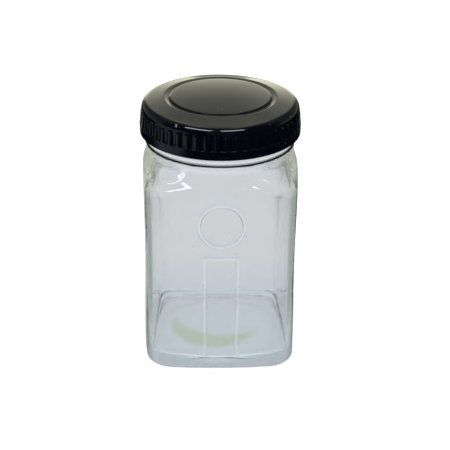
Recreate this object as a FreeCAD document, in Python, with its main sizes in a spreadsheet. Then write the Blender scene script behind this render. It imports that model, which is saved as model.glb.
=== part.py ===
import FreeCAD, Part
import math
import os
import Sketcher

# A square glass jar with a round screw neck, a ribbed moulded screw lid and the lid's two-layer
# liner. Millimetres, +Z up, origin at the middle of the flat ring that the jar stands on. The face
# with the raised ring and the raised panel frame looks along -Y.

doc = FreeCAD.newDocument("specimen_jar")

# Every driving size: name, value, what it is.
SIZES = [
    ("foot_height", 0.0, "underside of the body"),
    ("body_half", 42.4, "outer half width across the flats"),
    ("body_length", 140.9, "height of the body before the shoulder and neck are turned"),
    ("corner_radius", 15.5, "outer corner radius in plan"),
    ("side_bow", 280.0, "radius that each side bows to in plan"),
    ("heel_fillet", 2.2, "rounding from the side walls into the foot"),
    ("crease_fillet", 4.0, "rounding where the flat sides meet the shoulder"),
    ("push_up_radius", 35.2, "radius of the hollow under the base, inside the standing ring"),
    ("push_up_rise", 1.2, "height of that hollow at its middle"),
    ("cutter_top", 150.0, "height above everything, for the turned cuts"),
    ("cutter_radius", 58.0, "radius beyond the body's corners, for the turned cuts"),
    ("rim_height", 140.9, "top of the glass rim"),
    ("rim_outer", 39.2, "outer radius of the flat of the rim"),
    ("rim_inner", 37.3, "inner radius of the flat of the rim"),
    ("rim_shoulder", 140.1, "height where the rim's rounding starts"),
    ("rim_rounding", 0.8, "radius of the rim's outer rounding"),
    ("mouth_rounding", 0.8, "radius of the rim's inner rounding"),
    ("neck_radius", 40.0, "neck wall between the threads"),
    ("neck_foot", 122.0, "height where the neck meets the ledge"),
    ("ledge_radius", 40.9, "radius of the ledge under the neck"),
    ("ledge_edge", 121.7, "height of the ledge's outer edge"),
    ("shoulder_top", 118.0, "height where the ledge's wall turns out into the shoulder"),
    ("shoulder_sweep", 9.0, "radius of the hollow between neck and shoulder"),
    ("slope_radius", 45.4, "radius where the straight shoulder slope starts"),
    ("slope_height", 110.2, "height where the straight shoulder slope starts"),
    ("slope_end", 102.93, "height of the slope at cutter_radius"),
    ("floor_height", 5.6, "inside floor"),
    ("cavity_half", 39.5, "inner half width across the flats"),
    ("cavity_length", 143.5, "height of the cavity before its shoulder is turned"),
    ("inner_corner", 12.6, "inner corner radius in plan"),
    ("floor_fillet", 4.0, "rounding from the floor into the inner walls"),
    ("bore_radius", 36.6, "bore of the neck"),
    ("inner_sweep", 13.3, "radius of the inner hollow between neck and shoulder"),
    ("inner_slope_radius", 43.25, "radius where the inner straight slope starts"),
    ("inner_slope_height", 106.48, "height where the inner straight slope starts"),
    ("inner_slope_end", 97.96, "height of the inner slope at cutter_radius"),
    ("thread_pitch", 5.08, "five threads to the inch"),
    ("thread_turns", 1.25, "turns of thread on the jar and in the lid"),
    ("jar_thread_crest", 41.15, "crest radius of the jar's thread"),
    ("jar_thread_root", 39.6, "radius inside the neck wall where the ridge starts"),
    ("jar_thread_low", 131.0, "lower edge of the ridge's section at its root"),
    ("jar_thread_crest_low", 131.9, "lower edge of the ridge's section at its crest"),
    ("jar_thread_crest_high", 132.7, "upper edge of the ridge's section at its crest"),
    ("jar_thread_high", 133.6, "upper edge of the ridge's section at its root"),
    ("lid_thread_root", 41.9, "radius inside the skirt wall where the lid's ridge starts"),
    ("lid_thread_crest", 40.25, "crest radius of the lid's thread"),
    ("lid_thread_low", 128.96, "lower edge of the lid ridge's section at its root"),
    ("lid_thread_crest_low", 129.56, "lower edge of the lid ridge's section at its crest"),
    ("lid_thread_crest_high", 130.06, "upper edge of the lid ridge's section at its crest"),
    ("lid_thread_high", 130.66, "upper edge of the lid ridge's section at its root"),
    ("relief", 0.65, "height of the raised ring and panel frame"),
    ("relief_start", 39.0, "where their prisms start, inside the glass wall"),
    ("relief_depth", 5.0, "length of their prisms"),
    ("ring_height", 88.0, "height of the raised ring's middle"),
    ("ring_outer", 13.0, "outer radius of the raised ring"),
    ("ring_inner", 11.4, "inner radius of the raised ring"),
    ("panel_outer", 9.7, "outer half width of the panel frame"),
    ("panel_inner", 8.0, "inner half width of the panel frame"),
    ("panel_top", 69.5, "top of the panel frame"),
    ("panel_bridge", 67.8, "underside of the panel frame's bridge"),
    ("panel_foot", 9.0, "lower end of the panel frame's legs"),
    ("lip_height", 126.5, "bottom of the lid's skirt"),
    ("lip_outer", 43.3, "outer radius of the skirt at its bottom"),
    ("lip_inner", 42.0, "inner radius of the skirt at its bottom"),
    ("lip_chamfer", 127.4, "height where the skirt's inner chamfer ends"),
    ("lip_taper", 127.3, "height where the rounding of the skirt's foot ends"),
    ("skirt_outer", 43.9, "outer radius of the band at the skirt's foot"),
    ("rib_foot", 131.7, "height where the ribs rise from that band"),
    ("rib_crest", 43.25, "radius of the ribs at their top"),
    ("rib_head", 138.8, "height of the ribs' top"),
    ("band_low_radius", 42.9, "radius of the smooth band at the ribs' heads"),
    ("band_low", 139.8, "lower edge of the smooth band above the ribs"),
    ("band_radius", 42.89, "radius of the smooth band under the top edge"),
    ("skirt_inner", 41.5, "inner radius of the skirt"),
    ("skirt_top", 140.3, "height where the top edge's rounding starts"),
    ("edge_rounding", 4.3, "radius of the lid's top edge"),
    ("cone_outer", 39.46, "radius where the top's conical ring starts"),
    ("cone_low", 144.335, "height of the conical ring at its outer edge"),
    ("groove_outer", 30.7, "outer radius of the groove round the lid's middle"),
    ("cone_high", 146.13, "height of the conical ring at the groove"),
    ("groove_step", 28.3, "outer radius of that groove's floor"),
    ("groove_inner", 27.9, "inner radius of that groove"),
    ("groove_floor", 145.4, "floor of that groove"),
    ("dome_edge", 146.3, "height of the domed middle at the groove"),
    ("dome_top", 148.0, "top of the domed middle"),
    ("seat_height", 142.12, "ring inside the lid that presses the liner"),
    ("seat_inner", 35.5, "inner radius of that ring"),
    ("attic_radius", 27.0, "radius where the underside stops rising"),
    ("attic_height", 143.9, "height of the underside inside that radius"),
    ("flute_count", 50, "flutes between the ribs round the skirt"),
    ("flute_floor", 42.7, "distance of a flute's floor from the axis"),
    ("flute_half", 1.35, "half width of a flute"),
    ("flute_low", 131.7, "lower end of a flute"),
    ("flute_high", 139.9, "upper end of a flute, just inside the band above the ribs"),
    ("flute_reach", 2.0, "how far the cut runs outward"),
    ("facing_low", 140.9, "underside of the liner's facing, on the rim"),
    ("facing_thickness", 0.2, "thickness of the facing film"),
    ("board_low", 141.1, "underside of the liner's board, on the facing"),
    ("board_thickness", 1.0, "thickness of the board"),
    ("liner_radius", 41.1, "radius of both liner layers"),
]

sheet = doc.addObject("Spreadsheet::Sheet", "Sizes")
for row, (name, value, meaning) in enumerate(SIZES, 1):
    sheet.set(f"A{row}", meaning)
    sheet.set(f"B{row}", str(value))
    sheet.setAlias(f"B{row}", name)
doc.recompute()


def size(name):
    return float(sheet.get(name))


def plane(body, role):
    return next(feature for feature in body.Origin.OriginFeatures if feature.Role == role)


def new_sketch(body, name, role, offset=None):
    """A sketch on one of its body's origin planes, moved along the plane's normal by a sheet size."""
    sketch = body.newObject("Sketcher::SketchObject", name)
    sketch.AttachmentSupport = (plane(body, role), [""])
    sketch.MapMode = "FlatFace"
    if offset:
        sketch.setExpression("AttachmentOffset.Base.z", f"Sizes.{offset}")
    return sketch


def bind(sketch, constraint, expression):
    """Adds a constraint whose value follows the sheet."""
    number = sketch.addConstraint(constraint)
    sketch.setExpression(f"Constraints[{number}]", expression)


def prism(body, base, half, corner, length, swell=None):
    """A rounded-square prism: four bowed sides and four tangent corner arcs, padded upward."""
    sketch = new_sketch(body, f"{body.Name}_section", "XY_Plane", base)
    bow = size("side_bow")
    corner_size = size(corner)
    gap = bow - size(half) - (size(swell) if swell else 0.0)
    reach = bow - corner_size
    corner_centre = (-gap + math.sqrt(2 * reach**2 - gap**2)) / 2
    meet = math.atan2(corner_centre, corner_centre + gap)
    for k in range(4):
        turn = k * math.pi / 2
        side_centre = FreeCAD.Vector(-gap * math.cos(turn), -gap * math.sin(turn), 0)
        diagonal = turn + math.pi / 4
        far = corner_centre * math.sqrt(2)
        rounding_centre = FreeCAD.Vector(far * math.cos(diagonal), far * math.sin(diagonal), 0)
        side = Part.Circle(side_centre, FreeCAD.Vector(0, 0, 1), bow)
        rounding = Part.Circle(rounding_centre, FreeCAD.Vector(0, 0, 1), corner_size)
        sketch.addGeometry(Part.ArcOfCircle(side, turn - meet, turn + meet))
        sketch.addGeometry(Part.ArcOfCircle(rounding, turn + meet, turn + math.pi / 2 - meet))
    for k in range(8):
        sketch.addConstraint(Sketcher.Constraint("Tangent", k, 2, (k + 1) % 8, 1))
    more = f" - Sizes.{swell}" if swell else ""
    for k in range(4):
        sketch.addConstraint(Sketcher.Constraint("PointOnObject", 2 * k, 3, -1 - k % 2))
        if k:
            sketch.addConstraint(Sketcher.Constraint("Equal", 0, 2 * k))
            sketch.addConstraint(Sketcher.Constraint("Equal", 1, 2 * k + 1))
        ends = (2 * k, 3, -1, 1) if k < 2 else (-1, 1, 2 * k, 3)
        axis = "DistanceY" if k % 2 else "DistanceX"
        bind(sketch, Sketcher.Constraint(axis, *ends, gap), f"Sizes.side_bow - Sizes.{half}{more}")
    bind(sketch, Sketcher.Constraint("Radius", 0, bow), "Sizes.side_bow")
    bind(sketch, Sketcher.Constraint("Radius", 1, corner_size), f"Sizes.{corner}")
    feature = body.newObject("PartDesign::Pad", f"{body.Name}_prism")
    feature.Profile = sketch
    feature.setExpression("Length", f"Sizes.{length}")
    doc.recompute()
    return feature


def arc_centre(start, end, radius, bulge):
    """The middle of an arc from start to end, on the upright axis where no radius is given."""
    if radius is None:
        high = (start.x**2 + start.y**2 - end.x**2 - end.y**2) / (2 * (start.y - end.y))
        return FreeCAD.Vector(0, high, 0)
    chord = end - start
    left = FreeCAD.Vector(-chord.y, chord.x, 0).normalize()
    back = math.sqrt(radius**2 - chord.Length**2 / 4)
    return (start + end) / 2 - left * (bulge * back)


def outline(sketch, corners, arcs=None):
    """A closed outline through corners, each a pair of sheet names, or None on an axis.

    arcs gives a side's radius by its number, or None for an arc centred on the upright axis, and
    +1 where it bulges to the left of travel or -1 to the right."""
    arcs = arcs or {}
    points = [FreeCAD.Vector(size(x) if x else 0, size(y) if y else 0, 0) for x, y in corners]
    ends = []
    for k, start in enumerate(points):
        end = points[(k + 1) % len(points)]
        if k not in arcs:
            ends.append((sketch.addGeometry(Part.LineSegment(start, end)), 1, 2))
            continue
        radius, bulge = arcs[k]
        centre = arc_centre(start, end, size(radius) if radius else None, bulge)
        first, last = (end, start) if bulge > 0 else (start, end)
        angles = [math.atan2(p.y - centre.y, p.x - centre.x) for p in (first, last)]
        circle = Part.Circle(centre, FreeCAD.Vector(0, 0, 1), (start - centre).Length)
        number = sketch.addGeometry(Part.ArcOfCircle(circle, *angles))
        ends.append((number, 2, 1) if bulge > 0 else (number, 1, 2))
    for k, (number, first, last) in enumerate(ends):
        following = ends[(k + 1) % len(ends)]
        sketch.addConstraint(Sketcher.Constraint("Coincident", number, last, following[0], following[1]))
        for name, axis, other, value in (
            (corners[k][0], "DistanceX", -2, points[k].x),
            (corners[k][1], "DistanceY", -1, points[k].y),
        ):
            if name:
                bind(sketch, Sketcher.Constraint(axis, -1, 1, number, first, value), f"Sizes.{name}")
            else:
                sketch.addConstraint(Sketcher.Constraint("PointOnObject", number, first, other))
        if k not in arcs:
            continue
        radius = arcs[k][0]
        if radius:
            bind(sketch, Sketcher.Constraint("Radius", number, size(radius)), f"Sizes.{radius}")
        else:
            sketch.addConstraint(Sketcher.Constraint("PointOnObject", number, 3, -2))


def turned(body, kind, name, corners, arcs=None):
    """A full turn of an outline about the jar's axis, added (Revolution) or cut (Groove)."""
    sketch = new_sketch(body, f"{name}_outline", "XZ_Plane")
    outline(sketch, corners, arcs)
    feature = body.newObject(f"PartDesign::{kind}", name)
    feature.Profile = sketch
    feature.ReferenceAxis = (sketch, ["V_Axis"])
    feature.Angle = 360.0
    doc.recompute()
    return feature


def fillet(body, name, radius, wanted):
    """Rounds the edges of the body's tip that the test picks."""
    base = body.Tip
    edges = [f"Edge{k}" for k, edge in enumerate(base.Shape.Edges, 1) if wanted(edge)]
    feature = body.newObject("PartDesign::Fillet", name)
    feature.Base = (base, edges)
    feature.setExpression("Radius", f"Sizes.{radius}")
    doc.recompute()
    return feature


def heights(edge):
    return [vertex.Z for vertex in edge.Vertexes]


def lies_at(height):
    """Picks the edges that lie flat at a height."""
    level = size(height)
    return lambda edge: edge.BoundBox.ZLength < 0.01 and abs(edge.BoundBox.ZMin - level) < 0.01


def is_crease(low, high):
    """Picks the edges where the flat sides meet the turned shoulder: neither seams nor circles."""

    def test(edge):
        box = edge.BoundBox
        if box.ZMin < size(low) or box.ZMax > size(high):
            return False
        middle = edge.valueAt((edge.FirstParameter + edge.LastParameter) / 2)
        ends = [math.hypot(vertex.X, vertex.Y) for vertex in edge.Vertexes]
        radii = ends + [math.hypot(middle.x, middle.y)]
        level = max(heights(edge)) - min(heights(edge)) < 1e-6
        round_about = max(radii) - min(radii) < 1e-3
        return not (level and round_about) and box.XLength + box.YLength > 5

    return test


def thread(body, name, corners):
    """A right-hand helical ridge of constant section about the jar's axis."""
    sketch = new_sketch(body, f"{name}_section", "XZ_Plane")
    outline(sketch, corners)
    feature = body.newObject("PartDesign::AdditiveHelix", name)
    feature.Profile = sketch
    feature.ReferenceAxis = (sketch, ["V_Axis"])
    feature.Mode = "pitch-turns-angle"
    feature.setExpression("Pitch", "Sizes.thread_pitch")
    feature.setExpression("Turns", "Sizes.thread_turns")
    feature.LeftHanded = False
    doc.recompute()
    return feature


# The jar's outside: a rounded square prism, its shoulder and neck turned, its heel rounded, a
# shallow hollow under the base and one long thread on the neck.
outside = doc.addObject("PartDesign::Body", "outside")
prism(outside, "foot_height", "body_half", "corner_radius", "body_length")
fillet(outside, "heel", "heel_fillet", lies_at("foot_height"))
turned(
    outside,
    "Groove",
    "neck_and_shoulder",
    [
        ("rim_outer", "cutter_top"),
        ("rim_outer", "rim_height"),
        ("neck_radius", "rim_shoulder"),
        ("neck_radius", "neck_foot"),
        ("ledge_radius", "ledge_edge"),
        ("ledge_radius", "shoulder_top"),
        ("slope_radius", "slope_height"),
        ("cutter_radius", "slope_end"),
        ("cutter_radius", "cutter_top"),
    ],
    {1: ("rim_rounding", 1), 5: ("shoulder_sweep", -1)},
)
fillet(outside, "crease", "crease_fillet", is_crease("slope_end", "shoulder_top"))
turned(
    outside,
    "Groove",
    "push_up",
    [(None, None), ("push_up_radius", None), (None, "push_up_rise")],
    {1: (None, -1)},
)
thread(
    outside,
    "jar_thread",
    [
        ("jar_thread_root", "jar_thread_low"),
        ("jar_thread_crest", "jar_thread_crest_low"),
        ("jar_thread_crest", "jar_thread_crest_high"),
        ("jar_thread_root", "jar_thread_high"),
    ],
)

# The space inside the jar.
cavity = doc.addObject("PartDesign::Body", "cavity")
prism(cavity, "floor_height", "cavity_half", "inner_corner", "cavity_length")
fillet(cavity, "floor_edge", "floor_fillet", lies_at("floor_height"))
turned(
    cavity,
    "Groove",
    "bore_and_shoulder",
    [
        ("rim_inner", "cutter_top"),
        ("rim_inner", "rim_height"),
        ("bore_radius", "rim_shoulder"),
        ("bore_radius", "shoulder_top"),
        ("inner_slope_radius", "inner_slope_height"),
        ("cutter_radius", "inner_slope_end"),
        ("cutter_radius", "cutter_top"),
    ],
    {1: ("mouth_rounding", -1), 3: ("inner_sweep", -1)},
)

# The raised ring and panel frame on the front face. Their prisms are cut off by a skin that
# follows the outside, one relief further out.
skin = doc.addObject("PartDesign::Body", "skin")
prism(skin, "foot_height", "body_half", "corner_radius", "body_length", "relief")
prisms = doc.addObject("PartDesign::Body", "prisms")


def front_pad(name, sketch):
    """Extrudes a sketch on the front plane forward through the wall."""
    feature = prisms.newObject("PartDesign::Pad", name)
    feature.Profile = sketch
    feature.setExpression("Length", "Sizes.relief_depth")
    doc.recompute()
    return feature


ring_sketch = new_sketch(prisms, "ring_sketch", "XZ_Plane", "relief_start")
for name in ("ring_outer", "ring_inner"):
    centre = FreeCAD.Vector(0, size("ring_height"), 0)
    number = ring_sketch.addGeometry(Part.Circle(centre, FreeCAD.Vector(0, 0, 1), size(name)))
    ring_sketch.addConstraint(Sketcher.Constraint("PointOnObject", number, 3, -2))
    rise = Sketcher.Constraint("DistanceY", -1, 1, number, 3, size("ring_height"))
    bind(ring_sketch, rise, "Sizes.ring_height")
    bind(ring_sketch, Sketcher.Constraint("Radius", number, size(name)), f"Sizes.{name}")
front_pad("ring", ring_sketch)
frame_sketch = new_sketch(prisms, "frame_sketch", "XZ_Plane", "relief_start")
outline(
    frame_sketch,
    [
        (None, "panel_bridge"),
        ("panel_inner", "panel_bridge"),
        ("panel_inner", "panel_foot"),
        ("panel_outer", "panel_foot"),
        ("panel_outer", "panel_top"),
        (None, "panel_top"),
    ],
)
half_frame = front_pad("half_frame", frame_sketch)
other_half = prisms.newObject("PartDesign::Mirrored", "other_half")
other_half.Originals = [half_frame]
other_half.MirrorPlane = (plane(prisms, "YZ_Plane"), [""])
prisms.Tip = other_half
doc.recompute()

shell = doc.addObject("Part::Cut", "shell")
shell.Base = outside
shell.Tool = cavity
marks = doc.addObject("Part::Common", "marks")
marks.Base = prisms
marks.Tool = skin
jar = doc.addObject("Part::Fuse", "jar")
jar.Base = shell
jar.Tool = marks
jar.Refine = True
doc.recompute()

# The lid: one moulding with a conical rim, a groove, a domed middle, fluted skirt and a thread.
lid = doc.addObject("PartDesign::Body", "lid")
turned(
    lid,
    "Revolution",
    "lid_shell",
    [
        ("lip_inner", "lip_height"),
        ("lip_outer", "lip_height"),
        ("skirt_outer", "lip_taper"),
        ("skirt_outer", "rib_foot"),
        ("rib_crest", "rib_head"),
        ("band_low_radius", "band_low"),
        ("band_radius", "skirt_top"),
        ("cone_outer", "cone_low"),
        ("groove_outer", "cone_high"),
        ("groove_step", "groove_floor"),
        ("groove_inner", "groove_floor"),
        ("groove_inner", "dome_edge"),
        (None, "dome_top"),
        (None, "attic_height"),
        ("attic_radius", "attic_height"),
        ("seat_inner", "seat_height"),
        ("skirt_inner", "seat_height"),
        ("skirt_inner", "lip_chamfer"),
    ],
    {6: ("edge_rounding", -1), 11: (None, -1)},
)
thread(
    lid,
    "lid_thread",
    [
        ("lid_thread_root", "lid_thread_low"),
        ("lid_thread_root", "lid_thread_high"),
        ("lid_thread_crest", "lid_thread_crest_high"),
        ("lid_thread_crest", "lid_thread_crest_low"),
    ],
)
flute_sketch = new_sketch(lid, "flute_sketch", "XZ_Plane", "flute_floor")
low, high, half = size("flute_low"), size("flute_high"), size("flute_half")
flute_corners = [
    FreeCAD.Vector(x, z, 0) for x, z in ((-half, low), (half, low), (half, high), (-half, high))
]
for k in range(4):
    flute_sketch.addGeometry(Part.LineSegment(flute_corners[k], flute_corners[(k + 1) % 4]))
for k in range(4):
    flute_sketch.addConstraint(Sketcher.Constraint("Coincident", k, 2, (k + 1) % 4, 1))
flute_sketch.addConstraint(Sketcher.Constraint("Vertical", 1))
flute_sketch.addConstraint(Sketcher.Constraint("Horizontal", 2))
flute_sketch.addConstraint(Sketcher.Constraint("Vertical", 3))
flute_sketch.addConstraint(Sketcher.Constraint("Symmetric", 0, 1, 0, 2, -2))
bind(flute_sketch, Sketcher.Constraint("DistanceX", -1, 1, 0, 2, half), "Sizes.flute_half")
bind(flute_sketch, Sketcher.Constraint("DistanceY", -1, 1, 0, 2, low), "Sizes.flute_low")
bind(flute_sketch, Sketcher.Constraint("DistanceY", -1, 1, 1, 2, high), "Sizes.flute_high")
flute = lid.newObject("PartDesign::Pocket", "flute")
flute.Profile = flute_sketch
flute.setExpression("Length", "Sizes.flute_reach")
flute.Reversed = True
doc.recompute()
flutes = lid.newObject("PartDesign::PolarPattern", "flutes")
flutes.Originals = [flute]
flutes.Axis = (plane(lid, "Z_Axis"), [""])
flutes.Angle = 360.0
flutes.setExpression("Occurrences", "Sizes.flute_count")
lid.Tip = flutes
doc.recompute()


def disc(name, low, thickness):
    """One layer of the liner."""
    layer = doc.addObject("Part::Cylinder", name)
    layer.setExpression("Radius", "Sizes.liner_radius")
    layer.setExpression("Height", f"Sizes.{thickness}")
    layer.setExpression("Placement.Base.z", f"Sizes.{low}")
    return layer


facing = disc("liner_facing", "facing_low", "facing_thickness")
board = disc("liner_board", "board_low", "board_thickness")
doc.recompute()

for item in doc.Objects:
    if {"Invalid", "Error"} & set(item.State):
        raise RuntimeError(f"{item.Name} failed: {item.State}")

os.makedirs("parts", exist_ok=True)
for node in (jar, lid, board, facing):
    shape = node.Shape
    if shape.isNull() or not shape.isValid() or len(shape.Solids) != 1:
        raise RuntimeError(f"{node.Label} has no single sound solid")
    shape.exportStep(f"parts/{node.Label}.step")
    box = shape.optimalBoundingBox(False, False)
    print(
        f"{node.Label}: {shape.Volume / 1000:.2f} cm3,"
        f" x {box.XMin:.2f}..{box.XMax:.2f}, y {box.YMin:.2f}..{box.YMax:.2f},"
        f" z {box.ZMin:.2f}..{box.ZMax:.2f}"
    )
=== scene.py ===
import math

import bmesh
import bpy
import numpy as np
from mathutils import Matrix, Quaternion, Vector


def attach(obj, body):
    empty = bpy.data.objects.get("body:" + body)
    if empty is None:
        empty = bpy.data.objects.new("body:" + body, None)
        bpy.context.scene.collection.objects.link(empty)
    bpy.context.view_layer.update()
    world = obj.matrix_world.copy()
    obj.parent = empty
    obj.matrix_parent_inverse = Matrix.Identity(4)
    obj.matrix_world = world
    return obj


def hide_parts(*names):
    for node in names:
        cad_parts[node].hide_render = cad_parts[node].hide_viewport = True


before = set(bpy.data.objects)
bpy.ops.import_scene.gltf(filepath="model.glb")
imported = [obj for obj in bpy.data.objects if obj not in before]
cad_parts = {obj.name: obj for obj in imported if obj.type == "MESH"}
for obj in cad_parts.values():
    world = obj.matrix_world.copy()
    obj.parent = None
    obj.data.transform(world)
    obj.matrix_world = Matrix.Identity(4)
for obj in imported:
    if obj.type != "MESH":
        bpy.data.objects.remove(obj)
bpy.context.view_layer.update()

# A square glass jar with a ribbed black screw lid, seen from a little above its front.
# Blender works in metres. The shapes are worked out in millimetres, and the materials and the
# studio in metres.
MM = 0.001


# ---------------------------------------------------------------- helpers

def new_mesh(name, rings, body, node):
    """A closed skin through rings of points; a middle point closes its first and last ring."""
    count = len(rings[0])
    points = [rings[0].mean(axis=0)] + [p for ring in rings for p in ring] + [rings[-1].mean(axis=0)]
    last = len(points) - 1
    base = last - count
    faces = []
    for k in range(count):
        faces.append((0, 1 + (k + 1) % count, 1 + k))
        faces.append((last, base + k, base + (k + 1) % count))
    for row in range(len(rings) - 1):
        low, high = 1 + row * count, 1 + (row + 1) * count
        for k in range(count):
            after = (k + 1) % count
            faces.append((low + k, low + after, high + after, high + k))
    mesh = bpy.data.meshes.new(name)
    mesh.from_pydata([tuple(p * MM) for p in points], [], faces)
    mesh.validate()
    mesh.shade_smooth()
    piece = bpy.data.objects.new(name, mesh)
    bpy.context.scene.collection.objects.link(piece)
    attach(piece, body)
    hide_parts(node)
    return piece


def ease(x):
    """0 below 0, 1 above 1, and a smooth step between."""
    t = np.clip(x, 0.0, 1.0)
    return t * t * (3 - 2 * t)


def soft_min(a, b, width):
    """The smaller of two, rounded over where they come within a width of each other."""
    gap = np.clip(width - np.abs(a - b), 0, None) / width
    return np.minimum(a, b) - gap * gap * width / 4


def ring_of(angles, radius, height):
    """The points at a radius and height, each a number or one value per angle."""
    r = np.broadcast_to(radius, angles.shape)
    z = np.broadcast_to(height, angles.shape)
    return np.stack([r * np.cos(angles), r * np.sin(angles), z], axis=1)


# ---------------------------------------------------------------- jar

SIDE_BOW = 280.0          # radius that each side bows to in plan
OUTER_CORNER = 15.5       # radius of the body's corners in plan
INNER_CORNER = 12.6       # and of the cavity's
BODY_HALF = 42.4          # half width across the flats below the shoulder
WAIST = 0.5               # how far the sides draw in halfway up
WAIST_LOW = 14.0          # where that starts
WAIST_SPAN = 88.0         # and the height that it takes
HEEL = 2.2                # rounding into the foot
CAVITY_HALF = 39.5        # half width of the cavity across its flats
FLOOR = 5.6               # height of the inside floor
FLOOR_SWEEP = 4.0         # height over which the floor turns up into the walls
FLOOR_RADIUS = 37.0       # the floor is round where it starts to turn up into the square walls
NECK = 40.0
LEDGE = 40.9              # radius of the round part under the neck
LEDGE_LOW = 121.7         # where that part's wall ends
LEDGE_HIGH = 122.0        # where the neck's wall starts
RIM = 140.9
RIM_ROUND = 0.8
BORE = 36.6
SHOULDER_TOP = 118.0      # where the shoulder's hollow meets the upright part above it
SHOULDER_SWEEP = 9.0      # radius of that hollow
SLOPE = math.radians(30)  # the shoulder's lean from the level
CREASE = 4.5              # width over which the sides blend into the shoulder
BLEND_LOW = 102.0         # the cavity turns from square to round above this height,
BLEND_HIGH = 120.0        # and is round above this one
THINNEST = 2.4            # the least glass between the cavity and the outside
PITCH = 5.08
PUSH_UP = 35.2            # radius of the hollow under the base
PUSH_UP_RISE = 1.2        # its height in the middle
THREAD_LOW = 132.3        # height of the thread's middle where it starts
THREAD_TURNS = 1.25
THREAD_HEIGHT = 1.15
THREAD_HALF = 1.3         # half of the thread's width at its root
THREAD_FLANK = 0.9        # width of each flank
THREAD_FADE = 0.12        # share of a turn over which a thread's ends fade out

# The raised marks on the front: a ring, and below it a panel frame that is open at its foot.
RELIEF = 0.65             # how far they stand out
RELIEF_EDGE = 0.4         # width of their sloping edges
RING_MIDDLE = 88.0        # height of the ring's middle
RING_RADIUS = 12.2
RING_HALF = 0.8           # half of the ring's width
PANEL_SIDE = 8.85         # from the jar's middle to the middle of a leg
PANEL_HALF = 0.85         # half of the frame's width
PANEL_TOP = 69.5
PANEL_FOOT = 9.0
MARKS_REACH = 13.8        # half width of the strip of closely spaced points that holds the marks
FRONT_FACE = -41.4        # y that lies between the front's outer face and the cavity


def section(angles, half, corner, bow):
    """Radius of a rounded square with bowed sides, at each angle about its middle."""
    gap = bow - half
    reach = bow - corner
    middle = (-gap + math.sqrt(2 * reach**2 - gap**2)) / 2
    meet = math.atan2(middle, middle + gap)
    turn = math.atan2(bow * math.sin(meet), bow * math.cos(meet) - gap)
    fold = np.abs((angles + math.pi / 4) % (math.pi / 2) - math.pi / 4)
    side = -gap * np.cos(fold) + np.sqrt(bow**2 - (gap * np.sin(fold)) ** 2)
    lean = math.pi / 4 - fold
    far = middle * math.sqrt(2)
    rounding = far * np.cos(lean) + np.sqrt(np.clip(corner**2 - (far * np.sin(lean)) ** 2, 0, None))
    return np.where(fold < turn, side, rounding)


def jar_angles():
    """Angles round the jar, close together across the front's marks and even along the rest."""
    marks = np.linspace(-MARKS_REACH, MARKS_REACH, 88)
    front = np.arctan2(np.full_like(marks, -BODY_HALF), marks)
    dense = np.linspace(front[-1], front[0] + 2 * math.pi, 2001)
    r = section(dense, BODY_HALF, OUTER_CORNER, SIDE_BOW)
    x, y = r * np.cos(dense), r * np.sin(dense)
    length = np.concatenate([[0], np.cumsum(np.hypot(np.diff(x), np.diff(y)))])
    steps = np.linspace(0, length[-1], 196)[1:-1]
    return np.concatenate([front, np.interp(steps, length, dense)])


ANGLES = jar_angles()


def half_width(z):
    """Outer half width across the flats at a height, with a slight waist."""
    share = min(max((z - WAIST_LOW) / WAIST_SPAN, 0), 1)
    return BODY_HALF - WAIST * math.sin(math.pi * share) ** 2


def turned_radius(z):
    """Radius at a height of the ledge's wall, the hollow under it and the shoulder's slope."""
    centre = LEDGE + SHOULDER_SWEEP
    depth = SHOULDER_TOP - z
    turn = math.pi / 2 - SLOPE
    if depth <= 0:
        return LEDGE
    if depth <= SHOULDER_SWEEP * math.sin(turn):
        return centre - math.sqrt(SHOULDER_SWEEP**2 - depth**2)
    beyond = depth - SHOULDER_SWEEP * math.sin(turn)
    return centre - SHOULDER_SWEEP * math.cos(turn) + beyond / math.tan(SLOPE)


def thread_ridge(angles, z, start, height, half, flank):
    """How far a thread stands out at a height z, at each angle, fading at both ends."""
    ridge = np.zeros_like(angles)
    for lap in range(-1, 4):
        turn = (angles + lap * 2 * math.pi) / (2 * math.pi)
        middle = start + PITCH * turn
        fade = ease(turn / THREAD_FADE) * ease((THREAD_TURNS - turn) / THREAD_FADE)
        ridge = np.maximum(ridge, fade * height * ease((half - np.abs(z - middle)) / flank))
    return ridge


def relief(x, z):
    """Height of the raised ring and the panel frame at points of the front face."""
    wide = np.abs(x)
    ring = np.abs(np.hypot(x, z - RING_MIDDLE) - RING_RADIUS) - RING_HALF
    leg = np.maximum(np.abs(wide - PANEL_SIDE) - PANEL_HALF, np.maximum(z - PANEL_TOP, PANEL_FOOT - z))
    bridge = np.maximum(np.abs(z - PANEL_TOP + PANEL_HALF) - PANEL_HALF, wide - PANEL_SIDE - PANEL_HALF)
    edge = np.minimum(ring, np.minimum(leg, bridge))
    return RELIEF * ease(0.5 - edge / RELIEF_EDGE)


def outer_wall(z):
    """Outer radius at a height of the body and its shoulder, at each angle."""
    wall = section(ANGLES, half_width(z), OUTER_CORNER, SIDE_BOW)
    return soft_min(wall, turned_radius(z), CREASE)


def inner_wall(z):
    """Radius of the cavity at a height, at each angle: square below, round where it meets the bore."""
    wall = section(ANGLES, CAVITY_HALF - (BODY_HALF - half_width(z)), INNER_CORNER, SIDE_BOW)
    share = ease((z - BLEND_LOW) / (BLEND_HIGH - BLEND_LOW))
    blown = wall + (BORE - wall) * share
    return soft_min(blown, outer_wall(z) - THINNEST, 1.0)


def mark_raised(piece):
    """Stores how raised the front marks are at each point, for the glass's scuffed crests."""
    places = np.array([vertex.co for vertex in piece.data.vertices]) / MM
    on_front = places[:, 1] < FRONT_FACE
    raised = np.where(on_front, relief(places[:, 0], places[:, 2]) / RELIEF, 0.0)
    piece.data.attributes.new("raised", "FLOAT", "POINT").data.foreach_set("value", raised)


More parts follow.
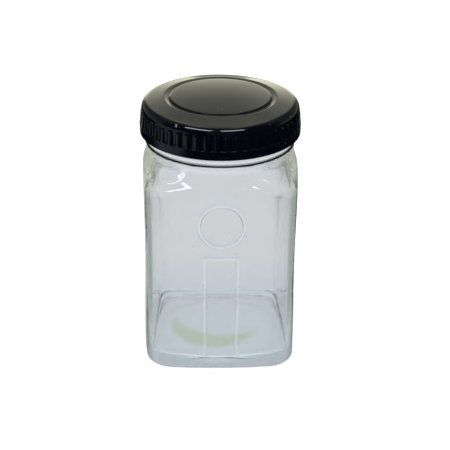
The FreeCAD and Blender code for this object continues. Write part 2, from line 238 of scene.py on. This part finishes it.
def jar_rings():
    """The jar's skin from the middle of its underside, up the outside and down to the inside floor."""
    rings = []
    foot = section(ANGLES, half_width(0) - HEEL, OUTER_CORNER - HEEL, SIDE_BOW - HEEL)
    for r in np.linspace(1.5, PUSH_UP, 12):
        rings.append(ring_of(ANGLES, r, PUSH_UP_RISE * (1 - (r / PUSH_UP) ** 2)))
    for u in (0.15, 0.4, 0.7, 0.9):
        rings.append(ring_of(ANGLES, PUSH_UP + (foot - PUSH_UP) * u, 0.0))
    for turn in np.linspace(0, math.pi / 2, 9)[:-1]:
        z = HEEL * (1 - math.cos(turn))
        inset = HEEL * (1 - math.sin(turn))
        radius = section(ANGLES, half_width(z) - inset, OUTER_CORNER - inset, SIDE_BOW - inset)
        rings.append(ring_of(ANGLES, radius, z))
    heights = np.concatenate([
        np.arange(HEEL, 9.6, 0.4), np.arange(9.8, 66.0, 2.2), np.arange(66.0, 103.5, 0.42),
        np.arange(103.5, 119.0, 0.5), np.arange(119.0, LEDGE_LOW, 0.9),
    ])
    for z in heights:
        points = ring_of(ANGLES, outer_wall(z), z)
        on_front = points[:, 1] < FRONT_FACE
        points[:, 1] -= np.where(on_front, relief(points[:, 0], points[:, 2]), 0)
        rings.append(points)
    ledge = ((LEDGE, LEDGE_LOW - 0.1), (LEDGE - 0.12, LEDGE_LOW + 0.08), (NECK + 0.2, LEDGE_HIGH))
    for radius, z in ledge:
        rings.append(ring_of(ANGLES, radius, z))
    for z in np.arange(LEDGE_HIGH + 0.25, RIM - RIM_ROUND, 0.4):
        ridge = thread_ridge(ANGLES, z, THREAD_LOW, THREAD_HEIGHT, THREAD_HALF, THREAD_FLANK)
        rings.append(ring_of(ANGLES, NECK + ridge, z))
    rounding = [
        (RIM_ROUND * (1 - math.cos(turn)), RIM_ROUND * (1 - math.sin(turn)))
        for turn in np.linspace(0, math.pi / 2, 5)
    ]
    for inset, drop in rounding:
        rings.append(ring_of(ANGLES, NECK - inset, RIM - drop))
    for drop, inset in rounding:
        rings.append(ring_of(ANGLES, BORE + inset, RIM - drop))
    for z in np.arange(RIM - 2.5, SHOULDER_TOP, -2.5):
        rings.append(ring_of(ANGLES, BORE, z))
    for z in np.concatenate([np.arange(SHOULDER_TOP, 98.0, -0.7), np.arange(97.0, 22.0, -3.0)]):
        rings.append(ring_of(ANGLES, inner_wall(z), z))
    wall = inner_wall(FLOOR + FLOOR_SWEEP)
    for turn in np.linspace(math.pi / 2, 0, 16):
        radius = FLOOR_RADIUS + (wall - FLOOR_RADIUS) * math.sin(turn)
        rings.append(ring_of(ANGLES, radius, FLOOR + FLOOR_SWEEP * (1 - math.cos(turn))))
    last = rings[-1]
    for u in (0.85, 0.65, 0.45, 0.25, 0.08):
        inner = last * u
        inner[:, 2] = FLOOR
        rings.append(inner)
    return rings


# ---------------------------------------------------------------- lid

RIBS = 50
FLUTE_FLOOR = 42.7        # radius of a flute's floor
FLUTE_RAMP = 0.15         # height over which a flute's floor runs out into the foot band
FLUTE_EDGE = 0.10         # width of a flute's edge, as a share of the ribs' pitch
FOOT = (43.9, 131.7)      # radius and height where the ribs rise from the band at the skirt's foot
RIB_HEAD = (43.25, 138.8)
BAND = (42.9, 139.8)      # the smooth band above the ribs
TOP = 148.0               # the domed middle's highest point
DOME_DROP = 1.7           # how far the dome has fallen at this radius:
DOME_REACH = 27.6
SKIRT_INNER = 41.5
SKIRT_TOP = 138.0         # where the lid's thread has ended
LID_THREAD = (129.81, 1.25, 0.95, 0.7)     # where it starts, its height, half width and flank

# Outlines of the lid, from the top's edge down the skirt and up inside, as (radius, height,
# rounding) corners: the groove round the dome and the cone outside it,
GROOVE_AND_CONE = [
    (26.9, 146.38, 1.0), (28.1, 145.4, 0.25), (28.5, 145.4, 0.3), (30.7, 146.13, 1.5),
    (42.75, 143.66, 4.3), (BAND[0], 140.1, 0),
]
# the band and the ribs,
BAND_AND_RIBS = [
    (BAND[0], BAND[1] + 0.1, 0), (BAND[0], BAND[1], 0.12), (*RIB_HEAD, 0.2), (43.3, 138.2, 0),
    (FOOT[0] - 0.1, FOOT[1] + FLUTE_RAMP + 0.3, 0),
]
# the band at the foot and the skirt's lower edge,
FOOT_BAND = [
    (FOOT[0], FOOT[1] - 0.1, 0), (FOOT[0], 127.0, 0.7), (43.3, 126.5, 0.25), (42.0, 126.5, 0.2),
    (SKIRT_INNER, 127.4, 0.2), (SKIRT_INNER, 128.4, 0),
]
# and the inside above the thread, with the liner's seat.
INSIDE = [
    (SKIRT_INNER, SKIRT_TOP + 0.2, 0), (SKIRT_INNER, 142.12, 0.3), (35.5, 142.12, 0.3),
    (27.0, 143.9, 2.0), (1.0, 143.9, 0),
]


def lid_angles():
    """Angles round the lid, close together where each flute turns into a rib."""
    # A flute's two edges are at 0.25 and 0.75 of the way from one rib's middle to the next.
    steps = np.array([0.0, 0.2, 0.225, 0.25, 0.275, 0.3, 0.5, 0.7, 0.725, 0.75, 0.775, 0.8])
    pitch = 2 * math.pi / RIBS
    return np.concatenate([(k + steps) * pitch for k in range(RIBS)])


def rounded_path(corners, step=1.2):
    """Points along an outline of corners, at most a step apart, with the roundings as arcs."""
    path = []
    for k, (r, z, rounding) in enumerate(corners):
        here = np.array([r, z], dtype=float)
        if rounding == 0 or k in (0, len(corners) - 1):
            path.append(here)
            continue
        before = np.array(corners[k - 1][:2], dtype=float) - here
        after = np.array(corners[k + 1][:2], dtype=float) - here
        a, b = before / np.linalg.norm(before), after / np.linalg.norm(after)
        half = math.acos(np.clip(a @ b, -1, 1)) / 2
        reach = rounding / math.tan(half)
        centre = here + (a + b) / np.linalg.norm(a + b) * rounding / math.sin(half)
        start, end = here + a * reach, here + b * reach
        sweep = math.pi - 2 * half
        parts = max(3, int(sweep / math.radians(14)))
        for j in range(parts + 1):
            t = j / parts
            arm = math.sin((1 - t) * sweep) * (start - centre) + math.sin(t * sweep) * (end - centre)
            path.append(centre + arm / math.sin(sweep))
    full = [path[0]]
    for point in path[1:]:
        gap = np.linalg.norm(point - full[-1])
        parts = max(1, int(math.ceil(gap / step)))
        origin = full[-1]
        for j in range(1, parts + 1):
            full.append(origin + (point - origin) * j / parts)
    return full


LID_ANGLES = lid_angles()


def flute_depth(radius):
    """How far each angle's point goes in from the skirt's profile, down to the flutes' floor."""
    place = (LID_ANGLES * RIBS / (2 * math.pi)) % 1.0
    across = ease((0.25 + FLUTE_EDGE / 2 - np.abs(place - 0.5)) / FLUTE_EDGE)
    return across * max(radius - FLUTE_FLOOR, 0.0)


def lid_rings():
    """The lid's skin from the middle of its inside, down to the skirt's foot and up to the top."""
    dome = [(r, TOP - DOME_DROP * (r / DOME_REACH) ** 2, 0) for r in np.linspace(0.8, 25.6, 12)]
    rings = [ring_of(LID_ANGLES, r, z) for r, z in rounded_path(dome + GROOVE_AND_CONE)]
    for r, z in rounded_path(BAND_AND_RIBS, step=1.3):
        rings.append(ring_of(LID_ANGLES, r - flute_depth(r), z))
    for share in (1.0, 0.9, 0.7, 0.5, 0.3, 0.1):
        z = FOOT[1] + FLUTE_RAMP * share
        depth = flute_depth(FOOT[0]) * ease(share)
        rings.append(ring_of(LID_ANGLES, FOOT[0] - depth, z))
    rings += [ring_of(LID_ANGLES, r, z) for r, z in rounded_path(FOOT_BAND)]
    for z in np.arange(128.7, SKIRT_TOP, 0.35):
        ridge = thread_ridge(LID_ANGLES, z, *LID_THREAD)
        rings.append(ring_of(LID_ANGLES, SKIRT_INNER - ridge, z))
    rings += [ring_of(LID_ANGLES, r, z) for r, z in rounded_path(INSIDE, step=4.0)]
    return rings[::-1]


# ---------------------------------------------------------------- materials

def map_range(tree, source, low, high, at_low, at_high):
    """A smooth step from one value to another as a source goes from low to high."""
    node = tree.nodes.new("ShaderNodeMapRange")
    node.interpolation_type = "SMOOTHSTEP"
    tree.links.new(source, node.inputs["Value"])
    for name, value in (("From Min", low), ("From Max", high), ("To Min", at_low), ("To Max", at_high)):
        node.inputs[name].default_value = value
    return node.outputs["Result"]


def maths(tree, operation, *values):
    """A Math node over sockets or numbers."""
    node = tree.nodes.new("ShaderNodeMath")
    node.operation = operation
    for k, value in enumerate(values):
        if isinstance(value, (int, float)):
            node.inputs[k].default_value = value
        else:
            tree.links.new(value, node.inputs[k])
    return node.outputs[0]


def band(tree, source, rise, fall, peak):
    """0, then up to a peak over one range of a source, and down to 0 over another."""
    up = map_range(tree, source, *rise, 0.0, peak)
    return maths(tree, "MULTIPLY", up, map_range(tree, source, *fall, 1.0, 0.0))


def colour_mix(tree, factor, first, second):
    """A blend of two colours, each a value or a socket."""
    node = tree.nodes.new("ShaderNodeMix")
    node.data_type = "RGBA"
    tree.links.new(factor, node.inputs["Factor"])
    for slot, colour in ((6, first), (7, second)):
        if isinstance(colour, tuple):
            node.inputs[slot].default_value = (*colour, 1)
        else:
            tree.links.new(colour, node.inputs[slot])
    return node.outputs[2]


def new_material(name):
    """A material, its node tree and the Principled shader in it."""
    material = bpy.data.materials.new(name)
    material.use_nodes = True
    return material, material.node_tree, material.node_tree.nodes["Principled BSDF"]


def object_place(tree):
    return tree.nodes.new("ShaderNodeTexCoord").outputs["Object"]


def split_axes(tree, place):
    """The x, y and z of a place."""
    axes = tree.nodes.new("ShaderNodeSeparateXYZ")
    tree.links.new(place, axes.inputs[0])
    return axes.outputs["X"], axes.outputs["Y"], axes.outputs["Z"]


def distance_from(tree, first, second):
    """The length of a pair of coordinates."""
    squares = [maths(tree, "POWER", value, 2.0) for value in (first, second)]
    return maths(tree, "SQRT", maths(tree, "ADD", *squares))


def noise(tree, place, scale, detail=4.0, stretch=(1, 1, 1)):
    """Noise of a scale per metre, optionally stretched along the axes."""
    mapping = tree.nodes.new("ShaderNodeMapping")
    mapping.inputs["Scale"].default_value = stretch
    tree.links.new(place, mapping.inputs["Vector"])
    node = tree.nodes.new("ShaderNodeTexNoise")
    node.inputs["Scale"].default_value = scale
    node.inputs["Detail"].default_value = detail
    tree.links.new(mapping.outputs[0], node.inputs["Vector"])
    return node.outputs[0]


def specks(tree, place, scale, size, share):
    """Small round spots of a size, in a share of the cells of a scale per metre."""
    cells = tree.nodes.new("ShaderNodeTexVoronoi")
    cells.inputs["Scale"].default_value = scale
    tree.links.new(place, cells.inputs["Vector"])
    spot = map_range(tree, cells.outputs["Distance"], size * 0.5, size, 1.0, 0.0)
    chance = tree.nodes.new("ShaderNodeSeparateColor")
    tree.links.new(cells.outputs["Color"], chance.inputs[0])
    return maths(tree, "MULTIPLY", spot, maths(tree, "LESS_THAN", chance.outputs[0], share))


def bumped(tree, shader, *layers):
    """Puts bumps of (height, depth in metres) on a shader's normal, one on the other."""
    normal = None
    for height, depth in layers:
        bump = tree.nodes.new("ShaderNodeBump")
        bump.inputs["Distance"].default_value = depth
        tree.links.new(height, bump.inputs["Height"])
        if normal:
            tree.links.new(normal, bump.inputs["Normal"])
        normal = bump.outputs[0]
    tree.links.new(normal, shader.inputs["Normal"])


def coated(tree, factor, under, colour):
    """A shader with a dull coat of a colour over it, as thick as the factor says."""
    coat = tree.nodes.new("ShaderNodeBsdfDiffuse")
    if isinstance(colour, tuple):
        coat.inputs["Color"].default_value = (*colour, 1)
    else:
        tree.links.new(colour, coat.inputs["Color"])
    mix = tree.nodes.new("ShaderNodeMixShader")
    tree.links.new(factor, mix.inputs[0])
    tree.links.new(under, mix.inputs[1])
    tree.links.new(coat.outputs[0], mix.inputs[2])
    return mix.outputs[0]


GLASS = (0.79, 0.80, 0.81)
CORNER_SHADE_GREEN = (0.49, 0.56, 0.50)              # painted shade: darker and greener at the two front corners,
CORNER_SHADE_SIDE = (0.0358, 0.0405)                 # which start at this distance to the side
CORNER_SHADE_BACK = (-0.028, -0.020)                 # and end at this y
SHOULDER_REFLECTION_CREAM = (0.86, 0.86, 0.74)              # painted reflection: cream at the sides of the shoulder,
REFLECTION_CREAM_LOW = (0.100, 0.113)                    # which start at this height
REFLECTION_CREAM_SIDE = (0.029, 0.039)                   # and at this distance to the side
# The dull coat's colours: white for scuffs, dust and the pale coats at the neck and ledge, and cream
# where it lies over the shoulder's painted reflection.
SCUFF = (0.85, 0.87, 0.88)
SCUFF_AND_REFLECTION_CREAM = (0.90, 0.90, 0.76)
NECK_PALE_COAT = ((0.1226, 0.1230), (0.1245, 0.1275))      # heights between which a pale coat lies over the neck
LEDGE_PALE_COAT = ((0.1165, 0.1190), (0.1211, 0.1215))     # and those of a fainter one under the ledge
LEDGE_PAINTED_SHADE = ((0.1214, 0.1217), (0.1221, 0.1224))          # painted shade: heights of a dark line at the ledge
PAINTED_SHADE_COLOUR = (0.02, 0.02, 0.02)
GLASS_ABSORBS = (0.56, 0.70, 0.78)


def glass_material():
    """Clear glass, wavy, dusty and scuffed, with painted shade that darkens and greens two front
    corners, a painted cream reflection at the shoulder, pale coats at the neck and under the ledge, and
    a painted dark line at the ledge.
    """
    material, tree, shader = new_material("jar_glass")
    place = object_place(tree)
    x, y, z = split_axes(tree, place)
    aside = maths(tree, "ABSOLUTE", x)
    # Painted shade: this mask makes the two front corners darker and greener.
    corner = maths(tree, "MULTIPLY", map_range(tree, aside, *CORNER_SHADE_SIDE, 0.0, 1.0),
                   map_range(tree, y, *CORNER_SHADE_BACK, 1.0, 0.0))
    # Painted reflection: this mask puts a cream tint and a cream coat on the shoulder's sides.
    cream_reflection = maths(tree, "MULTIPLY", map_range(tree, z, *REFLECTION_CREAM_LOW, 0.0, 1.0),
                     map_range(tree, aside, *REFLECTION_CREAM_SIDE, 0.0, 1.0))
    tint = colour_mix(tree, corner, GLASS, CORNER_SHADE_GREEN)
    tint = colour_mix(tree, cream_reflection, tint, SHOULDER_REFLECTION_CREAM)
    tree.links.new(tint, shader.inputs["Base Color"])
    shader.inputs["Transmission Weight"].default_value = 1.0
    shader.inputs["IOR"].default_value = 1.52

    foot = map_range(tree, z, 0.0, 0.0006, 0.25, 0.0)
    smears = map_range(tree, noise(tree, place, scale=55, detail=6.0), 0.55, 0.75, 0.0, 0.035)
    rough = maths(tree, "ADD", foot, smears)
    rough = maths(tree, "ADD", rough, maths(tree, "MULTIPLY", cream_reflection, 0.3))
    tree.links.new(rough, shader.inputs["Roughness"])
    waves = noise(tree, place, scale=24, detail=1.0, stretch=(1, 1, 0.35))
    grain = noise(tree, place, scale=160, detail=2.0)
    bumped(tree, shader, (waves, 0.0006), (grain, 0.00002))

    # A dull coat over the glass: scuffs on the marks' crests, dust, pale coats at the neck and under
    # the ledge, and the shoulder's painted cream reflection.
    marks = tree.nodes.new("ShaderNodeAttribute")
    marks.attribute_name = "raised"
    crest = map_range(tree, marks.outputs["Fac"], 0.7, 1.0, 0.0, 0.12)
    dust = maths(tree, "MULTIPLY", specks(tree, place, scale=260, size=0.10, share=0.10), 0.5)
    wear_and_painted_reflection = maths(tree, "MAXIMUM", crest, dust)
    for haze in (band(tree, z, *NECK_PALE_COAT, 0.75), band(tree, z, *LEDGE_PALE_COAT, 0.2),
                 maths(tree, "MULTIPLY", cream_reflection, 0.25)):
        wear_and_painted_reflection = maths(tree, "MAXIMUM", wear_and_painted_reflection, haze)
    surface = coated(tree, wear_and_painted_reflection, shader.outputs[0], colour_mix(tree, cream_reflection, SCUFF, SCUFF_AND_REFLECTION_CREAM))
    # Painted shade: a dark line coated round the ledge.
    surface = coated(tree, band(tree, z, *LEDGE_PAINTED_SHADE, 1.0), surface, PAINTED_SHADE_COLOUR)
    tree.links.new(surface, tree.nodes["Material Output"].inputs["Surface"])

    volume = tree.nodes.new("ShaderNodeVolumeAbsorption")
    volume.inputs["Color"].default_value = (*GLASS_ABSORBS, 1)
    volume.inputs["Density"].default_value = 5.0
    tree.links.new(volume.outputs[0], tree.nodes["Material Output"].inputs["Volume"])
    return material


LID_BLACK = (0.0009, 0.0015, 0.0035)
LID_DUST = (0.50, 0.50, 0.46)
# Chips and stuck specks on the lid: middle and size in millimetres, and how pale.
CHIPS = (
    ((-24.3, -35.0, 143.2), 0.9, 0.6), ((-22.6, -36.4, 142.6), 0.7, 0.5),
    ((-11.0, -23.6, 146.8), 0.35, 0.8), ((-6.4, -24.8, 146.8), 0.35, 0.8),
    ((25.0, -34.2, 143.0), 0.4, 0.8), ((36.6, -21.5, 142.6), 0.35, 0.8),
)


def lid_material():
    """Black phenolic: glossy, with handling haze, hairline scratches, dust and a few chips."""
    material, tree, shader = new_material("lid_plastic")
    place = object_place(tree)
    haze = map_range(tree, noise(tree, place, scale=45, detail=6.0), 0.35, 0.75, 0.045, 0.13)
    hairs = noise(tree, place, scale=500, detail=3.0, stretch=(0.05, 1.0, 1.0))
    scratches = map_range(tree, hairs, 0.66, 0.72, 0.0, 0.12)
    tree.links.new(maths(tree, "ADD", haze, scratches), shader.inputs["Roughness"])
    waves = noise(tree, place, scale=55, detail=1.0)
    grain = noise(tree, place, scale=1400, detail=2.0)
    bumped(tree, shader, (waves, 0.00006), (grain, 0.000004))

    pale = maths(tree, "MULTIPLY", specks(tree, place, scale=300, size=0.09, share=0.06), 0.35)
    for centre, size, light in CHIPS:
        gap = tree.nodes.new("ShaderNodeVectorMath")
        gap.operation = "DISTANCE"
        tree.links.new(place, gap.inputs[0])
        gap.inputs[1].default_value = [value * MM for value in centre]
        ragged = maths(tree, "MULTIPLY", noise(tree, place, scale=900, detail=3.0), 1.6)
        reach = maths(tree, "MULTIPLY", gap.outputs["Value"], ragged)
        chip = map_range(tree, reach, size * MM * 0.5, size * MM, light, 0.0)
        pale = maths(tree, "MAXIMUM", pale, chip)
    tree.links.new(colour_mix(tree, pale, LID_BLACK, LID_DUST), shader.inputs["Base Color"])
    return material


BOARD_DARK = (0.30, 0.23, 0.15)
BOARD_PALE = (0.42, 0.34, 0.23)
BOARD_FLECK = (0.12, 0.09, 0.06)


def board_material():
    """Grey-brown pulpboard with short fibres lying both ways, and dark flecks."""
    material, tree, shader = new_material("liner_pulpboard")
    place = object_place(tree)
    fibres = noise(tree, place, scale=900, detail=6.0, stretch=(0.25, 1.0, 1.0))
    crossing = noise(tree, place, scale=900, detail=6.0, stretch=(1.0, 0.25, 1.0))
    woven = maths(tree, "MAXIMUM", fibres, crossing)
    flecks = maths(tree, "MULTIPLY", specks(tree, place, scale=500, size=0.2, share=0.12), 0.5)
    colour = colour_mix(tree, map_range(tree, woven, 0.45, 0.7, 0.0, 1.0), BOARD_DARK, BOARD_PALE)
    tree.links.new(colour_mix(tree, flecks, colour, BOARD_FLECK), shader.inputs["Base Color"])
    shader.inputs["Roughness"].default_value = 0.92
    bumped(tree, shader, (woven, 0.00008))
    return material


FILM_DARK = (0.74, 0.71, 0.62)
FILM_PALE = (0.80, 0.78, 0.71)
FILM_PRESSED = (0.48, 0.45, 0.38)
RIM_MARK = ((0.0366, 0.0372), (0.0392, 0.0399))       # radii between which the rim presses the film


def facing_material():
    """Off-white facing film, pressed smoother and darker by the jar's rim."""
    material, tree, shader = new_material("liner_facing_film")
    place = object_place(tree)
    x, y, z = split_axes(tree, place)
    pressed = band(tree, distance_from(tree, x, y), *RIM_MARK, 1.0)
    mottle = map_range(tree, noise(tree, place, scale=120, detail=5.0), 0.35, 0.7, 0.0, 1.0)
    colour = colour_mix(tree, mottle, FILM_DARK, FILM_PALE)
    colour = colour_mix(tree, maths(tree, "MULTIPLY", pressed, 0.6), colour, FILM_PRESSED)
    tree.links.new(colour, shader.inputs["Base Color"])
    tree.links.new(map_range(tree, pressed, 0.0, 1.0, 0.5, 0.25), shader.inputs["Roughness"])
    bumped(tree, shader, (maths(tree, "SUBTRACT", mottle, pressed), 0.00003))
    return material


# ---------------------------------------------------------------- pieces

jar = new_mesh("glass_jar", jar_rings(), "jar", "jar")
mark_raised(jar)
jar.data.materials.append(glass_material())
lid = new_mesh("screw_lid", lid_rings(), "lid", "lid")
lid.data.materials.append(lid_material())
for node, make in (("liner_board", board_material), ("liner_facing", facing_material)):
    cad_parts[node].data.materials.clear()
    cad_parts[node].data.materials.append(make())


# ---------------------------------------------------------------- floor, light, camera

# The studio, in metres. The floor is what the eye sees, the bright field is what the glass shows
# through itself, and the reflected room is what the gloss mirrors.
TABLE_REACH = 6.0
FLOOR_DROP = 0.0001                     # the floor lies this far below the jar's foot
FIELD_DROP = 0.00015
FLOOR_GREY = (0.85, 0.85, 0.85)
FLOOR_GLOW = 0.4

FIELD_EDGE = (0.052, 0.10)              # the field dims as |x| goes over this range,
FIELD_DARK = 0.62                       # to this share of its light
FIELD_TURN = (0.045, 0.11)              # and turns from its near colour to its far one over this
FIELD_NEAR = (0.90, 0.96, 1.02)
FIELD_FAR = (1.04, 1.05, 1.05)
CRESCENT = (0.72, 0.83, 0.65)
CRESCENT_OUTER = ((-0.003, 0.003), 0.0285, 0.0215)    # middle, edge, and where it is full
CRESCENT_INNER = ((0.004, 0.022), 0.026, 0.036)

# The room's directions are parts of its radius, and its colours go up from a dark table.
ROOM_RADIUS = 4.0
TABLE = (0.03, 0.033, 0.04)
CEILING = (0.9, 0.9, 0.72)
ROOM = (
    (0.01, (1.9, 1.86, 1.4)), (0.12, (1.5, 1.48, 1.12)), (0.23, (1.05, 1.04, 0.78)),
    (0.44, (0.62, 0.63, 0.52)), (0.64, (0.52, 0.53, 0.44)), (0.76, CEILING),
)
HORIZON = (-0.004, 0.004)               # z over which the table gives way to the room
TABLE_BEHIND = (0.45, 0.44, 0.36)       # the table far behind the jar,
BEHIND = (0.75, 0.92)                   # from this y
TABLE_LEFT = (1.2, 1.3, 1.45)           # and to its left,
LEFT = (-0.86, -0.6)                    # up to this x
LEFT_BACK = (0.05, 0.40)                # and this y
LEFT_SHARE = 0.28                       # its strength, which the ribs' flanks mirror
ROOM_FRONT = (-0.18, 0.22)              # y over which the room's front is dark
FRONT_SHARE = 0.05
ROOM_SIDES = (0.05, 0.2)                # |x| over which the room gets brighter by this much:
SIDES_SHARE = 1.35
ROOM_ENDS = (0.22, 0.38)                # |x| over which it then falls to this share:
ENDS_SHARE = 0.15

SKY = (0.82, 0.84, 0.87)
SOFTBOX_TINT = (0.85, 0.92, 1.0)
SOFTBOX_RADIANCE = 9.0
SOFTBOX_HEIGHT = 0.22
SOFTBOX_ELEVATION = math.radians(52)
SOFTBOX_DISTANCE = 1.1
SOFTBOX_AIM = Vector((0, 0, 0.12))


def table_disc(name, drop, sides=48):
    """A level disc round the jar's axis, a little below its foot."""
    around = [2 * math.pi * k / sides for k in range(sides)]
    points = [(TABLE_REACH * math.cos(a), TABLE_REACH * math.sin(a), -drop) for a in around]
    mesh = bpy.data.meshes.new(name)
    mesh.from_pydata(points, [], [tuple(range(sides))])
    disc = bpy.data.objects.new(name, mesh)
    bpy.context.scene.collection.objects.link(disc)
    return disc


def emitting(name, sheet):
    """Gives a stage piece a glow that lights nothing; returns its tree, shader and x, y and z."""
    material = bpy.data.materials.new(name)
    material.use_nodes = True
    material.cycles.emission_sampling = "NONE"
    tree = material.node_tree
    tree.nodes.clear()
    glow = tree.nodes.new("ShaderNodeEmission")
    out = tree.nodes.new("ShaderNodeOutputMaterial")
    tree.links.new(glow.outputs[0], out.inputs["Surface"])
    sheet.data.materials.append(material)
    return tree, glow, split_axes(tree, object_place(tree))


def pale_floor():
    """The white table, as the eye and the lights see it."""
    floor = table_disc("floor", FLOOR_DROP)
    material, tree, shader = new_material("pale_floor")
    shader.inputs["Base Color"].default_value = (*FLOOR_GREY, 1)
    shader.inputs["Roughness"].default_value = 0.9
    shader.inputs["Specular IOR Level"].default_value = 0.0
    shader.inputs["Emission Color"].default_value = (1, 1, 1, 1)
    shader.inputs["Emission Strength"].default_value = FLOOR_GLOW
    floor.data.materials.append(material)
    floor.visible_transmission = floor.visible_glossy = False


def inside_circle(tree, x, y, centre, edge, full):
    """A step up across a circle's edge to the radius where it is full, inside or outside it."""
    across = maths(tree, "SUBTRACT", x, centre[0])
    along = maths(tree, "SUBTRACT", y, centre[1])
    out = distance_from(tree, across, along)
    if full < edge:
        return map_range(tree, out, full, edge, 1.0, 0.0)
    return map_range(tree, out, edge, full, 0.0, 1.0)


def bright_field():
    """What the glass shows through itself: a pale table, darker at its sides, with a green crescent."""
    sheet = table_disc("bright_field", FIELD_DROP)
    tree, glow, (x, y, z) = emitting("bright_field", sheet)
    across = maths(tree, "ABSOLUTE", x)
    along = maths(tree, "ABSOLUTE", y)
    far = map_range(tree, maths(tree, "MAXIMUM", across, along), *FIELD_TURN, 0.0, 1.0)
    colour = colour_mix(tree, far, FIELD_NEAR, FIELD_FAR)
    crescent = maths(tree, "MULTIPLY", inside_circle(tree, x, y, *CRESCENT_OUTER),
                     inside_circle(tree, x, y, *CRESCENT_INNER))
    tree.links.new(colour_mix(tree, crescent, colour, CRESCENT), glow.inputs["Color"])
    tree.links.new(map_range(tree, across, *FIELD_EDGE, 1.0, FIELD_DARK), glow.inputs["Strength"])
    sheet.visible_camera = sheet.visible_diffuse = sheet.visible_glossy = sheet.visible_shadow = False


def reflected_room():
    """What the gloss mirrors: a warm room, dark in front and at its ends, over a mostly dark table."""
    mesh = bpy.data.meshes.new("reflected_room")
    build = bmesh.new()
    bmesh.ops.create_uvsphere(build, u_segments=48, v_segments=24, radius=ROOM_RADIUS)
    build.to_mesh(mesh)
    build.free()
    room = bpy.data.objects.new("reflected_room", mesh)
    bpy.context.scene.collection.objects.link(room)

    tree, glow, axes = emitting("reflected_room", room)
    x, y, height = [maths(tree, "DIVIDE", axis, ROOM_RADIUS) for axis in axes]
    ramp_node = tree.nodes.new("ShaderNodeValToRGB")
    ramp = ramp_node.color_ramp
    ramp.elements[0].position, ramp.elements[0].color = 0.0, (*TABLE, 1)
    ramp.elements[1].position, ramp.elements[1].color = 1.0, (*CEILING, 1)
    for position, colour in ROOM:
        ramp.elements.new(position).color = (*colour, 1)
    tree.links.new(height, ramp_node.inputs[0])

    low = map_range(tree, height, *HORIZON, 1.0, 0.0)
    behind = maths(tree, "MULTIPLY", map_range(tree, y, *BEHIND, 0.0, 1.0), low)
    left = maths(tree, "MULTIPLY", map_range(tree, x, *LEFT, 1.0, 0.0), low)
    left = maths(tree, "MULTIPLY", left, map_range(tree, y, *LEFT_BACK, 1.0, 0.0))
    colour = colour_mix(tree, behind, ramp_node.outputs["Color"], TABLE_BEHIND)
    tree.links.new(colour_mix(tree, left, colour, TABLE_LEFT), glow.inputs["Color"])

    aside = maths(tree, "ABSOLUTE", x)
    share = map_range(tree, y, *ROOM_FRONT, FRONT_SHARE, 1.0)
    share = maths(tree, "MULTIPLY", share, map_range(tree, aside, *ROOM_SIDES, 1.0, SIDES_SHARE))
    share = maths(tree, "MULTIPLY", share, map_range(tree, aside, *ROOM_ENDS, 1.0, ENDS_SHARE))
    share = maths(tree, "MAXIMUM", share, maths(tree, "MULTIPLY", left, LEFT_SHARE))
    tree.links.new(share, glow.inputs["Strength"])
    room.visible_camera = room.visible_diffuse = room.visible_transmission = room.visible_shadow = False


def plain_world():
    """An even sky that lights the floor and the dull surfaces."""
    world = bpy.data.worlds.new("studio")
    world.use_nodes = True
    background = world.node_tree.nodes["Background"]
    background.inputs["Color"].default_value = (*SKY, 1)
    background.inputs["Strength"].default_value = 1.0
    bpy.context.scene.world = world


def softbox(name, azimuth, width):
    """A rectangular light that faces the lid; azimuth is in degrees right of the front."""
    turn = math.radians(azimuth)
    level = math.cos(SOFTBOX_ELEVATION)
    away = Vector((math.sin(turn) * level, -math.cos(turn) * level, math.sin(SOFTBOX_ELEVATION)))
    light = bpy.data.lights.new(name, "AREA")
    light.shape = "RECTANGLE"
    light.size = width
    light.size_y = SOFTBOX_HEIGHT
    light.energy = SOFTBOX_RADIANCE * math.pi * width * SOFTBOX_HEIGHT
    light.color = SOFTBOX_TINT
    lamp = bpy.data.objects.new(name, light)
    lamp.location = SOFTBOX_AIM + away * SOFTBOX_DISTANCE
    lamp.rotation_euler = away.to_track_quat("Z", "Y").to_euler()
    lamp.visible_camera = False
    bpy.context.scene.collection.objects.link(lamp)


pale_floor()
bright_field()
reflected_room()
plain_world()
softbox("softbox_left", -42, 0.62)
softbox("softbox_right", 20, 0.50)
bpy.context.scene.view_settings.view_transform = "Standard"
# Thick glass turns black where a ray runs out of bounces.
light_paths = bpy.context.scene.cycles
light_paths.max_bounces = light_paths.transmission_bounces = light_paths.glossy_bounces = 32

AIM = Vector((0, 0, 0.070))
DISTANCE = 0.760
TILT = math.radians(25.9)
SWING = math.radians(-1.85)
ROLL = math.radians(0.55)
camera = bpy.data.objects.new("camera", bpy.data.cameras.new("camera"))
bpy.context.scene.collection.objects.link(camera)
back = Vector((math.sin(SWING) * math.cos(TILT), -math.cos(SWING) * math.cos(TILT), math.sin(TILT)))
camera.location = AIM + back * DISTANCE
camera.rotation_euler = (back.to_track_quat("Z", "Y") @ Quaternion((0, 0, 1), ROLL)).to_euler()
camera.data.sensor_width = 36.0
camera.data.lens = 107.84
camera.data.shift_x = 0.0126
camera.data.shift_y = -0.0045
bpy.context.scene.camera = camera
